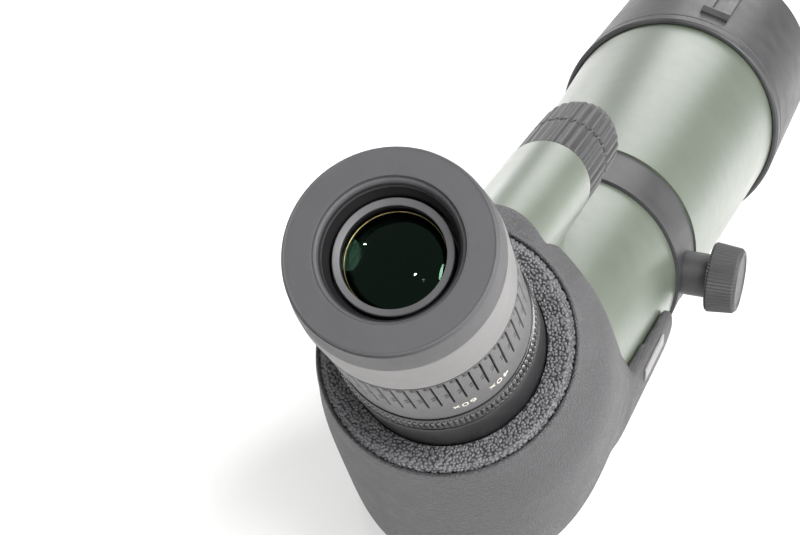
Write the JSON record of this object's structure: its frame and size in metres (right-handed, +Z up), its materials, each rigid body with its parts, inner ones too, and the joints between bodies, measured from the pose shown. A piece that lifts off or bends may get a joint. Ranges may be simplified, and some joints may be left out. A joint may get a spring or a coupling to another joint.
{
  "type": "spotting scope",
  "caption": "Angled spotting scope with zoom eyepiece, twist-up eyecup, dual focus knobs, sliding hood and rotating tripod collar.",
  "frame": {"origin": "centre of the mouth of the tripod thread, on the underside of the foot, under the middle of the tripod collar", "axes": "+Y along the main optical axis towards the objective, +X to the lock knob's side, +Z up; the eyepiece points back and up at 45 degrees"},
  "size_m": [0.1125, 0.4907, 0.1989],
  "materials": {
    "green_paint": "satin sage green paint",
    "armour_rubber": "fine-grained rubber armour",
    "pebble_rubber": "coarse pebbled rubber",
    "grip_rubber": "moulded grip rubber",
    "cup_rubber": "soft matt rubber",
    "dark_plastic": "dark grey satin",
    "black_anodised": "black anodised",
    "cast_housing": "matt black cast alloy",
    "cell_alloy": "machined",
    "brass": "machined",
    "steel": "bright",
    "plate": "plain satin plate with no mark",
    "optical_glass": "green coated glass",
    "seal_rubber": "black rubber"
  },
  "bodies": {
    "scope_body": {"rear_body": "green_paint", "prism_housing": "cast_housing", "rear_armour": "armour_rubber", "port_ring": "pebble_rubber", "name_plate": "plate", "prism_bracket": "cast_housing", "half_penta_prism": "optical_glass", "roof_prism": "optical_glass", "bracket_screws": "steel", "rod_bulkhead": "cast_housing", "guide_rods": "steel", "focus_bush": "brass", "objective_tube": "green_paint", "objective_cell": "black_anodised", "front_lens": "optical_glass", "rear_lens": "optical_glass", "objective_ring": "black_anodised", "light_baffles": "cast_housing", "tube_seal": "seal_rubber", "eyepiece_base": "black_anodised", "eyepiece_barrel": "black_anodised", "eyepiece_seal": "seal_rubber", "field_lens": "optical_glass", "eye_lens_cell": "black_anodised", "eye_lens": "optical_glass", "eye_doublet": "optical_glass", "eye_lens_ring": "black_anodised"},
    "hood": {"sunshade": "dark_plastic", "sight_rail": "dark_plastic", "hood_friction_ring": "seal_rubber"},
    "collar": {"tripod_collar": "dark_plastic", "tripod_foot": "dark_plastic", "foot_pad": "seal_rubber", "foot_screws": "steel", "thread_insert": "steel"},
    "collar_lock": {"lock_knob": "dark_plastic", "lock_stud": "steel"},
    "coarse_focus": {"coarse_focus_knob": "dark_plastic", "focus_screw": "steel", "focus_end_cap": "steel"},
    "fine_focus": {"fine_focus_knob": "dark_plastic"},
    "focus_carriage": {"focus_carriage": "cell_alloy", "focus_lens": "optical_glass"},
    "zoom_control": {"zoom_ring": "dark_plastic", "zoom_grip": "grip_rubber", "zoom_cam": "brass"},
    "eyepiece_lock": {"eyepiece_lock_ring": "dark_plastic"},
    "front_zoom_cell": {"zoom_cell_front": "cell_alloy", "zoom_lens_front": "optical_glass"},
    "rear_zoom_cell": {"zoom_cell_rear": "cell_alloy", "zoom_lens_rear": "optical_glass"},
    "eyecup_turn": {"eyecup_cam_ring": "cell_alloy"},
    "eyecup": {"eyecup_sleeve": "dark_plastic", "eyecup_rubber": "cup_rubber"}
  },
  "joints": [
    {"name": "hood_slide", "type": "slide", "parent": "scope_body", "child": "hood", "axis": [0, 1, 0], "range_m": [0, 0.038]},
    {"name": "collar_turn", "type": "hinge", "parent": "scope_body", "child": "collar", "pos_m": [0, 0, 0.064], "axis": [0, 1, 0], "continuous": true},
    {"name": "collar_lock_turn", "type": "hinge", "parent": "collar", "child": "collar_lock", "pos_m": [0.04973, 0, 0.06923], "axis": [0.9945, 0, 0.1045], "range_deg": [0, 540]},
    {"name": "coarse_focus_turn", "type": "hinge", "parent": "scope_body", "child": "coarse_focus", "pos_m": [0, -0.075, 0.1324], "axis": [0, 1, 0], "range_deg": [-450.01, 450.01]},
    {"name": "fine_focus_turn", "type": "hinge", "parent": "coarse_focus", "child": "fine_focus", "pos_m": [0, -0.052, 0.1324], "axis": [0, 1, 0], "range_deg": [-720, 720]},
    {"name": "focus_travel", "type": "slide", "parent": "scope_body", "child": "focus_carriage", "axis": [0, 1, 0], "range_m": [-0.004, 0.004]},
    {"name": "zoom_turn", "type": "hinge", "parent": "scope_body", "child": "zoom_control", "pos_m": [0, -0.20708, 0.14928], "axis": [0, -0.7071, 0.7071], "range_deg": [0, 90]},
    {"name": "front_cell_travel", "type": "slide", "parent": "scope_body", "child": "front_zoom_cell", "axis": [0, -0.7071, 0.7071], "range_m": [0, 0.006]},
    {"name": "rear_cell_travel", "type": "slide", "parent": "scope_body", "child": "rear_zoom_cell", "axis": [0, -0.7071, 0.7071], "range_m": [-0.007, 0]},
    {"name": "eyepiece_lock_turn", "type": "hinge", "parent": "scope_body", "child": "eyepiece_lock", "pos_m": [0, -0.19435, 0.13655], "axis": [0, -0.7071, 0.7071], "range_deg": [0, 60]},
    {"name": "eyecup_turn", "type": "hinge", "parent": "scope_body", "child": "eyecup_turn", "pos_m": [0, -0.22476, 0.16695], "axis": [0, -0.7071, 0.7071], "range_deg": [0, 180]},
    {"name": "eyecup_rise", "type": "slide", "parent": "eyecup_turn", "child": "eyecup", "axis": [0, -0.7071, 0.7071], "range_m": [0, 0.01]}
  ],
  "couplings": [
    {"joint": "coarse_focus_turn", "follows": "focus_travel", "rad_per_m": 1963.5},
    {"joint": "front_cell_travel", "follows": "zoom_turn", "m_per_rad": 0.0038197},
    {"joint": "rear_cell_travel", "follows": "zoom_turn", "m_per_rad": -0.0044563},
    {"joint": "eyecup_rise", "follows": "eyecup_turn", "m_per_rad": 0.0031831}
  ]
}
